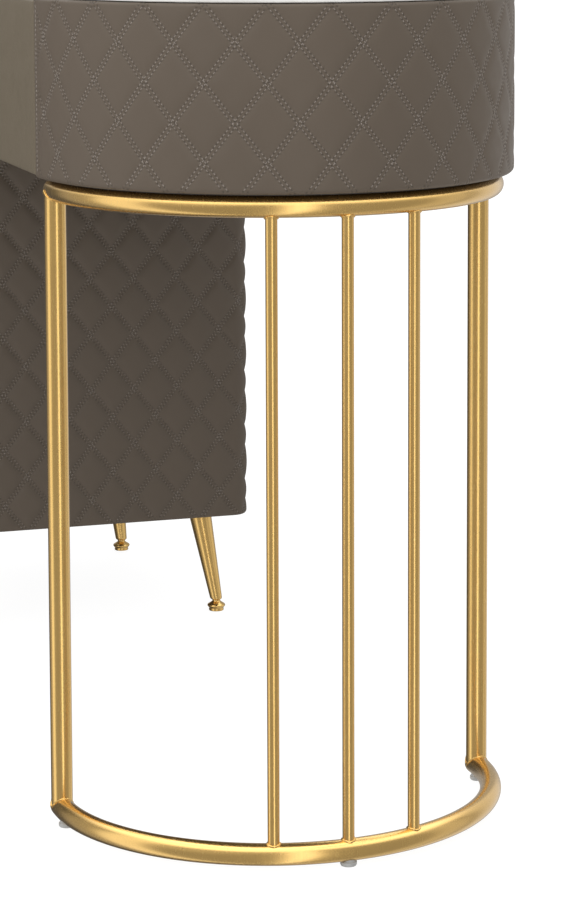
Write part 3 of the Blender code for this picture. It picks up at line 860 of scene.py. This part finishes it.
def add_glide(node):
    """A pushed-in glide: a domed foot below a collar that hugs the tube."""
    low, high, middle = measured(node)
    radius = (high[0] - low[0]) / 2
    neck = radius - 0.0012
    top = LOWER_RING_Z - TUBE_R + 0.0022
    profile = rounded([
        (radius * 0.55, 0.0, 0), (radius - 0.0008, 0.0, 0.0006), (radius, 0.0016, 0.0006),
        (radius, 0.0038, 0.0005), (neck, 0.0044, 0.0004), (neck, top, 0),
    ])
    points, faces = turned(profile, 40)
    points = placed(points, Matrix.Translation((middle[0], middle[1], 0)))
    make_piece(f"{node}_foot", points, faces, GLIDE, "table", "glide_plastic", [node])


def add_legs():
    """Tapered legs with a rounded lower edge, each on a turned tip."""
    top_r, end_r = 0.0136, 0.0071
    lower_edge = [
        (end_r - 0.0026, 0.0), (end_r - 0.0012, 0.0002), (end_r - 0.0003, 0.0010), (end_r + 0.0001, 0.0022),
    ]
    for row in ("front", "back"):
        for column in ("left", "right"):
            node = f"cabinet_leg_{row}_{column}"
            low, high = box(node)
            _, tip_high, tip_middle = measured(f"{node}_tip")
            foot = np.array([tip_middle[0], tip_middle[1], 0.0])
            head = np.array([
                high[0] - top_r if column == "left" else low[0] + top_r,
                high[1] - top_r if row == "front" else low[1] + top_r, 0.0,
            ])
            height = high[2] - low[2]
            taper = [(end_r + (top_r - end_r) * t, height * t) for t in np.linspace(0.04, 1, 14)]
            points, faces = turned(lower_edge + taper, 56)
            points = points + foot + np.outer(points[:, 2] / height, head - foot) + (0, 0, low[2])
            brass_piece(f"{node}_cone", points, faces, [node], sharp=50)
            add_leg_tip(f"{node}_tip", foot, tip_high[2])


def add_leg_tip(node, foot, top):
    """A small base, a double-cone disc and a thin neck."""
    profile = rounded([
        (0.0070, 0.0, 0), (0.0086, 0.0, 0.0006), (0.0089, 0.0016, 0.0006), (0.0086, 0.0034, 0.0006),
        (0.0101, 0.0050, 0.0005), (0.0108, 0.0064, 0.0006), (0.0101, 0.0078, 0.0006),
        (0.0056, 0.0106, 0.0010), (0.0046, 0.0118, 0.0006), (0.0046, top, 0),
    ], 3)
    points, faces = turned(profile, 48)
    brass_piece(f"{node}_turning", points + foot, faces, [node])


def add_knob(node, body):
    """A turned knob: a rose, a waisted stem and a dished head with a fine bead."""
    low, high, middle = measured(node)
    reach = high[1] - low[1]
    radius = (high[0] - low[0]) / 2
    stem = [
        (0.0070, 0.0, 0), (0.0082, 0.0, 0.0003), (0.0082, 0.0014, 0.0006), (0.0052, 0.0030, 0.0014),
        (0.0048, 0.0075, 0.002), (0.0055, 0.0115, 0.002),
    ]
    head = [
        (radius - 0.0016, 0.0150, 0.0012), (radius, 0.0168, 0.0010), (radius, reach - 0.0030, 0.0012),
        (radius - 0.0022, reach, 0.0014), (radius - 0.0042, reach - 0.0003, 0.0006),
        (radius - 0.0060, reach - 0.0012, 0.0010), (0.0010, reach - 0.0014, 0),
    ]
    points, faces = turned(rounded(stem + head, 4), 56)
    place = Matrix.Translation((middle[0], high[1], middle[2])) @ FACING
    brass_piece(f"{node}_turning", placed(points, place), faces, [node], body)


# ---------------------------------------------------------------- stone top

def add_slab(material):
    """The stone top: a polished slab with eased edges."""
    low, high = box("top_slab")
    half = (high[1] - low[1]) / 2
    end_r = half - 1e-5
    round_end = [(high[0], low[1], end_r), (high[0], high[1], end_r)]
    left_end = [(low[0], high[1], CORNER), (low[0], low[1], 0.003)]
    places, normals, _ = outline(round_end + left_end, 0.03, closed=True)
    ease, rim = 0.0014, 0.017
    turns = np.linspace(0, math.pi / 2, 6)
    rows = [(-rim, low[2])]
    rows += [(-ease + ease * math.sin(t), low[2] + ease - ease * math.cos(t)) for t in turns]
    rows += [(-ease + ease * math.cos(t), high[2] - ease + ease * math.sin(t)) for t in turns]
    rows += [(-rim, high[2])]
    count = len(places)
    points = np.vstack([
        np.column_stack([places + normals * offset, np.full(count, level)]) for offset, level in rows
    ])
    faces = as_lists(grid_faces(len(rows), count, wrap_columns=True))
    faces.append(list(range(count))[::-1])
    faces.append([(len(rows) - 1) * count + k for k in range(count)])
    make_piece("stone_top", points, faces, material, "table", "white_stone", ["top_slab"], 50)


# ---------------------------------------------------------------- mirror

def disc_sizes(node):
    """The middle, radius and half depth of a disc that faces the sitter."""
    low, high, hub = measured(node)
    return hub, (high[0] - low[0]) / 2, (high[1] - low[1]) / 2


def add_mirror():
    """Weighted base, forked stand and the tilting mirror with its clamping knobs."""
    low, high, middle = measured("mirror_base")
    spread = (high[0] - low[0]) / 2
    rise = high[2] - low[2]
    bore = 0.0083
    profile = rounded([
        (spread - 0.006, 0.0, 0), (spread - 0.0012, 0.0, 0.0008), (spread, 0.0012, 0.0008),
        (spread, 0.0040, 0.0012), (spread - 0.003, 0.0058, 0.0012), (spread - 0.008, 0.0060, 0.0008),
        (spread - 0.010, 0.0066, 0.0006), (0.026, rise - 0.0015, 0.004), (0.017, rise, 0.0012),
        (bore, rise, 0.0004), (bore, rise - 0.0070, 0),
    ], 4)
    points, faces = turned(profile, 96)
    points = placed(points, Matrix.Translation((middle[0], middle[1], low[2])))
    brass_piece("mirror_base_turning", points, faces, ["mirror_base"])
    add_stand()
    add_mirror_frame()
    add_glass()
    for side, sign in (("left", -1), ("right", 1)):
        add_clamp_knob(side, sign)


def add_mirror_frame():
    """A rounded brass hoop with a thin lip over the glass."""
    hub, radius, half = disc_sizes("mirror_frame")
    lip, inside = radius - 0.010, radius - 0.0050
    section = rounded([
        (lip, half - 0.0030, 0), (lip, half - 0.0006, 0.0005), (lip + 0.0014, half, 0.0008),
        (radius - 0.0040, half, 0.0020), (radius, half - 0.0040, 0.0030), (radius, -half + 0.0040, 0.0030),
        (radius - 0.0040, -half, 0.0020), (inside, -half, 0.0003), (inside, half - 0.0030, 0),
    ], 5)
    points, faces = turned_ring(section, 160)
    points = placed(points, Matrix.Translation(hub) @ FACING)
    brass_piece("mirror_frame_ring", points, faces, ["mirror_frame"], "mirror_head")


def add_glass():
    """A bevelled disc of silvered glass and the leather-faced sheet behind it."""
    centre = 0.001  # radius of the flat middle of both discs
    hub, radius, half = disc_sizes("mirror_glass")
    profile = [
        (centre, -half), (radius, -half), (radius, half - 0.0012), (radius - 0.012, half),
        (radius - 0.0122, half), (centre, half),
    ]
    points, faces = turned(profile, 144)
    points = placed(points, Matrix.Translation(hub) @ FACING)
    make_piece("mirror_glass_disc", points, faces, GLASS, "mirror_head", "mirror_glass", ["mirror_glass"], 2)
    hub, radius, half = disc_sizes("mirror_back")
    profile = rounded([
        (centre, half, 0), (radius, half, 0.0003), (radius, -half + 0.001, 0.0008),
        (radius - 0.0015, -half, 0.001), (radius - 0.012, -half, 0.0004),
        (radius - 0.013, -half + 0.0007, 0.0004), (radius - 0.014, -half, 0.0004), (centre, -half, 0),
    ], 3)[::-1]
    points, faces = turned(profile, 120)
    points = placed(points, Matrix.Translation(hub) @ FACING)
    make_piece("mirror_back_sheet", points, faces, BACKING, "mirror_head", "mirror_backing", ["mirror_back"])


def add_stand():
    """The stem and the half ring that carries the mirror, with an eye at each end."""
    low, high = box("mirror_stand")
    hub = measured("mirror_frame")[2]
    eye_r, eye_half, wall = high[2] - hub[2], 0.0065, 0.006
    reach = (high[0] - low[0]) / 2 - eye_half
    trim = math.asin(0.0075 / reach)
    angles = np.linspace(math.pi + trim, TAU - trim, 121)
    outward = np.column_stack([np.cos(angles), np.zeros(len(angles)), np.sin(angles)])
    depth = np.tile((0.0, 1.0, 0.0), (len(angles), 1))
    parts = [swept(hub + reach * outward, outward, depth, np.full(len(angles), wall), 28)]
    fork_low = hub[2] - reach
    stem = rounded([
        (0.0060, low[2], 0), (0.0080, low[2], 0.0005), (0.0080, fork_low - 0.020, 0.004),
        (0.0062, fork_low - 0.008, 0.003), (0.0058, fork_low - 0.002, 0),
    ], 4)
    collar_low = low[2] + 0.0105
    collar = rounded([
        (0.0081, collar_low, 0), (0.0105, collar_low, 0.0006), (0.0112, collar_low + 0.003, 0.0012),
        (0.0105, collar_low + 0.006, 0.0006), (0.0081, collar_low + 0.006, 0),
    ], 3)
    for points, faces in (turned(stem, 48), turned_ring(collar, 64)):
        parts.append((points + (hub[0], hub[1], 0), faces))
    bore, chamfer = 0.0036, 0.0006
    eye = rounded([
        (bore, -eye_half, 0), (eye_r - chamfer, -eye_half, 0.0008), (eye_r, -0.0058, 0.0006),
        (eye_r, 0.0058, 0.0006), (eye_r - chamfer, eye_half, 0.0008), (bore, eye_half, 0),
    ], 3)
    for sign in (-1, 1):
        place = Matrix.Translation(hub + (sign * reach, 0, 0)) @ Matrix.Rotation(math.pi / 2, 4, "Y")
        points, faces = turned_ring(eye, 48)
        parts.append((placed(points, place), faces))
    brass_piece("mirror_fork_tube", *joined(parts), ["mirror_stand"], "mirror_fork", 50)


def add_clamp_knob(side, sign):
    """A fluted clamping knob on the pin that carries the mirror."""
    low, high, hub = measured(f"mirror_knob_{side}")
    length = high[0] - low[0]
    radius = (high[2] - low[2]) / 2
    start = length - 0.0137
    profile = rounded([
        (0.0028, 0.0, 0), (0.0032, 0.0006, 0.0003), (0.0032, start, 0.0), (0.0105, start, 0.0006),
        (radius, start + 0.0024, 0.0008), (radius, length - 0.0026, 0.0010),
        (radius - 0.0026, length, 0.0012), (0.001, length - 0.0004, 0),
    ], 4)
    points, faces = turned(profile, 120)
    distance = np.hypot(points[:, 0], points[:, 1])
    turn = np.arctan2(points[:, 1], points[:, 0])
    flutes, depth = 24, 0.018
    flute = 1 - depth * (1 + np.cos(flutes * turn)) * (distance > radius - 0.0008)
    points[:, :2] *= flute[:, None]
    place = Matrix.Translation((low[0] if sign > 0 else high[0], hub[1], hub[2]))
    place = place @ Matrix.Rotation(sign * math.pi / 2, 4, "Y")
    name = f"mirror_knob_{side}"
    brass_piece(f"{name}_turning", placed(points, place), faces, [name], "mirror_head")


# ---------------------------------------------------------------- boards

def repaint(node, material):
    slots = frame["nodes"][node].data.materials
    slots.clear()
    slots.append(material)


def repaint_boards():
    """The carcass boards, each with its veneer's grain along its length."""
    light, dark = (0.060, 0.048, 0.039), (0.034, 0.027, 0.022)
    lengthwise = wood("veneer_lengthwise", light, dark, 0.5, along=0)
    upright = wood("veneer_upright", light, dark, 0.5, along=2)
    slots = {part["node"]: part["material_slot"] for part in frame["record"]["subparts"]}
    for node, slot in slots.items():
        if slot == "plywood":
            flat = "board" in node and "back" not in node and "end" not in node
            repaint(node, lengthwise if flat else upright)


# ---------------------------------------------------------------- drawers and runners

def drawer_tray(node, body):
    """A tray of four rounded-over boards round a felt-lined floor."""
    low, high = box(node)
    wall, floor, soft = 0.012, 0.008, 0.003
    lining_low = low[2] + floor - 0.0014
    inner_low, inner_high = low + wall, high - wall
    boards = []
    for y0, y1 in ((low[1], low[1] + wall), (high[1] - wall, high[1])):
        boards.append(rounded_board((low[0], y0, low[2]), (high[0], y1, high[2]), 0, soft))
    for x0, x1 in ((low[0], low[0] + wall), (high[0] - wall, high[0])):
        boards.append(rounded_board((x0, inner_low[1], low[2]), (x1, inner_high[1], high[2]), 1, soft))
    floor_low, floor_high = low[2] + 0.001, low[2] + floor - 0.0015
    boards.append(rounded_board((*inner_low[:2], floor_low), (*inner_high[:2], floor_high), 0, 0.0))
    make_piece(f"{node}_boards", *joined(boards), DRAWER_WOOD, body, "drawer_wood", [node], 40)
    inset = wall + 0.0004
    corners = (*(low[:2] + inset), lining_low), (*(high[:2] - inset), low[2] + floor)
    make_piece(f"{node}_lining", *rounded_board(*corners, 0, 0.0), LINING, body, "drawer_wood")


def rounded_board(low, high, along, soft, steps=5):
    """A board whose two upper long edges are rounded over."""
    low, high = np.array(low, float), np.array(high, float)
    across = 1 - along
    half = (high[across] - low[across]) / 2
    middle = (high[across] + low[across]) / 2
    soft = min(soft, half * 0.9)
    turns = np.linspace(0, math.pi / 2, steps)
    edge = [(half - soft * (1 - math.cos(t)), high[2] - soft * (1 - math.sin(t))) for t in turns]
    section = [(-half, low[2]), *[(-offset, level) for offset, level in edge], *edge[::-1], (half, low[2])]
    points = []
    for end in (low[along], high[along]):
        for offset, level in section:
            point = [0.0, 0.0, level]
            point[across] = middle + offset
            point[along] = end
            points.append(point)
    return np.array(points), prism_faces(len(section), flip=along == 1)


def runner_rail(node, side):
    """A fixed ball-bearing rail: a rolled channel with its inner member and ball cage."""
    low, high, centre = measured(node)
    middle = centre[2]
    tall = (high[2] - low[2]) / 2
    wide = high[0] - low[0]
    lip, sheet, bend = wide * 0.62, 0.0013, 0.0016
    lip_low = tall - 0.006
    outer = [(0, -tall, 0), (lip, -tall, bend), (lip, -lip_low, 0)]
    inner = [
        (lip - sheet, -lip_low, 0), (lip - sheet, -tall + sheet, 0.0006), (sheet, -tall + sheet, 0.0008),
        (sheet, tall - sheet, 0.0008), (lip - sheet, tall - sheet, 0.0006), (lip - sheet, lip_low, 0),
    ]
    back = [(lip, lip_low, 0), (lip, tall, bend), (0, tall, 0)]
    channel = rounded(outer, 4) + rounded(inner, 4) + rounded(back, 4)
    root = sheet + 0.0022
    upper = [
        (wide - 0.0018, tall - 0.0128), (wide - 0.0006, tall - 0.0115), (wide - 0.0006, tall - 0.009),
        (root, tall - 0.009), (root, tall - 0.0105), (wide - 0.0032, tall - 0.0105),
    ]
    lower = [(x, -z) for x, z in upper[::-1]]
    start_x, sign = (low[0], 1) if side == "left" else (high[0], -1)
    parts = []
    for section, y0, y1 in ((channel, low[1], high[1]), (upper + lower, low[1] + 0.006, high[1] - 0.020)):
        points = [(start_x + sign * x, y, middle + z) for y in (y0, y1) for x, z in section]
        parts.append((points, prism_faces(len(section), flip=sign < 0)))
    ball_r = 0.0021
    ball = rounded([
        (0.0002, -ball_r, 0), (ball_r, -ball_r, 0.0018), (ball_r, ball_r, 0.0018), (0.0002, ball_r, 0),
    ], 5)
    for y in np.arange(low[1] + 0.04, high[1] - 0.03, 0.0095):
        for z in (-tall + 0.0036, tall - 0.0036):
            points, faces = turned(ball, 10)
            parts.append((points + (start_x + sign * (sheet + 0.0040), y, middle + z), faces))
    make_piece(f"{node}_rail", *joined(parts), STEEL, "table", "runner_steel", [node], 35)


def add_drawers():
    front_leather = leather("front_leather", colour=FRONT_LEATHER)
    for name in ("desk_drawer_left", "desk_drawer_right", "cabinet_drawer_lower", "cabinet_drawer_upper"):
        leather_front(f"{name}_front", name, front_leather)
        drawer_tray(f"{name}_box", name)
        if name.startswith("cabinet"):
            add_knob(f"{name}_knob", name)
        for side in ("left", "right"):
            runner_rail(f"{name}_runner_{side}", side)


# ---------------------------------------------------------------- studio

def add_floor():
    """A pale seamless floor, lit a little from within as a light table is."""
    size = 60.0
    points = [(-size, -size, 0), (size, -size, 0), (size, size, 0), (-size, size, 0)]
    mesh = bpy.data.meshes.new("floor")
    mesh.from_pydata(points, [], [(0, 1, 2, 3)])
    paint = Paint("floor_white", (0.16, 0.16, 0.16), 0.7, Specular_IOR_Level=0.1)
    paint.rough(paint.noise(4.0, 3), 0.65, 0.75)
    paint.shader.inputs["Emission Color"].default_value = (1, 1, 1, 1)
    paint.shader.inputs["Emission Strength"].default_value = 0.92
    mesh.materials.append(paint.material)
    floor = new_object("floor", mesh)
    floor.visible_glossy = False


WALL_GREY = 0.41
# bearing of the middle in degrees, half width in degrees, and brightness of each soft box
SOFT_BOXES = ((-4, 7, 2.0), (-92, 14, 1.25), (75, 12, 0.70), (115, 18, 0.80), (208, 16, 0.10))
HIGH_GLOW = (0.75, 1.50, 2.1)  # where the glow above the soft boxes starts and is full, and its brightness


def soft_box_material():
    """Light that changes with the bearing round the half-round end and with height."""
    light = Nodes("soft_boxes")
    maths = light.maths
    x, y, z = light.split(light.place)
    bearing = maths("ARCTAN2", y, maths("SUBTRACT", x, ARC_X))
    total = WALL_GREY
    for middle, half_width, brightness in SOFT_BOXES:
        away = maths("ABSOLUTE", maths("SUBTRACT", bearing, math.radians(middle)))
        away = maths("MINIMUM", away, maths("SUBTRACT", TAU, away))
        soft = math.radians(half_width * 0.5)
        reach = math.radians(half_width) + soft / 2
        share = maths("DIVIDE", maths("SUBTRACT", reach, away), soft, clamp=True)
        total = maths("MULTIPLY_ADD", share, brightness - WALL_GREY, total)
    start, full, brightness = HIGH_GLOW
    rise = maths("DIVIDE", maths("SUBTRACT", z, start), full - start, clamp=True)
    total = maths("MAXIMUM", total, maths("MULTIPLY", rise, brightness))
    glow = light.node("Emission")
    light.link(total, glow.inputs["Strength"])
    light.link(glow.outputs[0], light.tree.nodes["Material Output"].inputs["Surface"])
    light.tree.nodes.remove(light.tree.nodes["Principled BSDF"])
    return light.material


def add_reflection_wall():
    """A round studio wall of soft boxes and grey flats that only polished surfaces see."""
    radius, tall, deep, steps = 1.45, 2.6, 1.5, 96
    points = stacked_rings([(radius, -deep), (radius, tall)], steps) + (ARC_X, 0, 0)
    faces = as_lists(grid_faces(2, steps, wrap_columns=True)) + [list(range(steps))]
    mesh = bpy.data.meshes.new("reflection_wall")
    mesh.from_pydata(points.tolist(), [], faces)
    mesh.materials.append(soft_box_material())
    wall = new_object("reflection_wall", mesh)
    for ray in ("camera", "diffuse", "transmission", "volume_scatter", "shadow"):
        setattr(wall, f"visible_{ray}", False)


def add_area_light(name, place, target, size, power):
    light = bpy.data.lights.new(name, "AREA")
    light.shape, light.size, light.size_y = "RECTANGLE", size[0], size[1]
    light.energy = power
    lamp = new_object(name, light)
    lamp.location = place
    lamp.rotation_euler = (Vector(target) - Vector(place)).to_track_quat("-Z", "Y").to_euler()


def add_lights():
    world = bpy.data.worlds.new("studio")
    bpy.context.scene.world = world
    world.use_nodes = True
    background = world.node_tree.nodes["Background"]
    background.inputs["Color"].default_value = (1.0, 1.0, 1.0, 1.0)
    background.inputs["Strength"].default_value = 1.0
    add_area_light("overhead", (0.3, -0.2, 3.2), (0.2, 0.0, 0.6), (3.0, 2.4), 40)
    add_area_light("key_left", (2.2, -2.6, 2.0), (0.4, 0.0, 0.5), (1.6, 1.6), 30)


def add_camera():
    """A long lens to the right of the half-round end, a little above the table."""
    camera = bpy.data.cameras.new("camera")
    camera.lens = 120.72
    camera.shift_x, camera.shift_y = -0.10, -0.2683
    camera.clip_start, camera.clip_end = 0.05, 200
    view = new_object("camera", camera)
    view.location = (3.124, -0.821, 0.876)
    pitch, yaw = math.radians(6.328), math.radians(70.865)
    view.rotation_euler = (math.pi / 2 - pitch, 0, yaw)
    bpy.context.scene.camera = view
    bpy.context.scene.view_settings.view_transform = "Standard"


# ---------------------------------------------------------------- the whole table

THREAD = thread_paint("quilting_thread", (0.240, 0.205, 0.175))
COVER_THREAD = thread_paint("cover_thread", (0.170, 0.144, 0.120))
BRASS = brass()
GLIDE = plastic()
GLASS = silvered_glass()
STEEL = steel()
BACKING = leather("backing_leather", tone=0.9)
DRAWER_WOOD = wood("drawer_ash", (0.46, 0.35, 0.24), (0.33, 0.24, 0.155), 0.5, along=0)
LINING = felt("drawer_felt", (0.085, 0.070, 0.058))

add_floor()
add_reflection_wall()
add_lights()
add_camera()
add_band()
add_cover()
add_frame()
add_legs()
add_slab(white_stone())
add_mirror()
add_drawers()
repaint_boards()
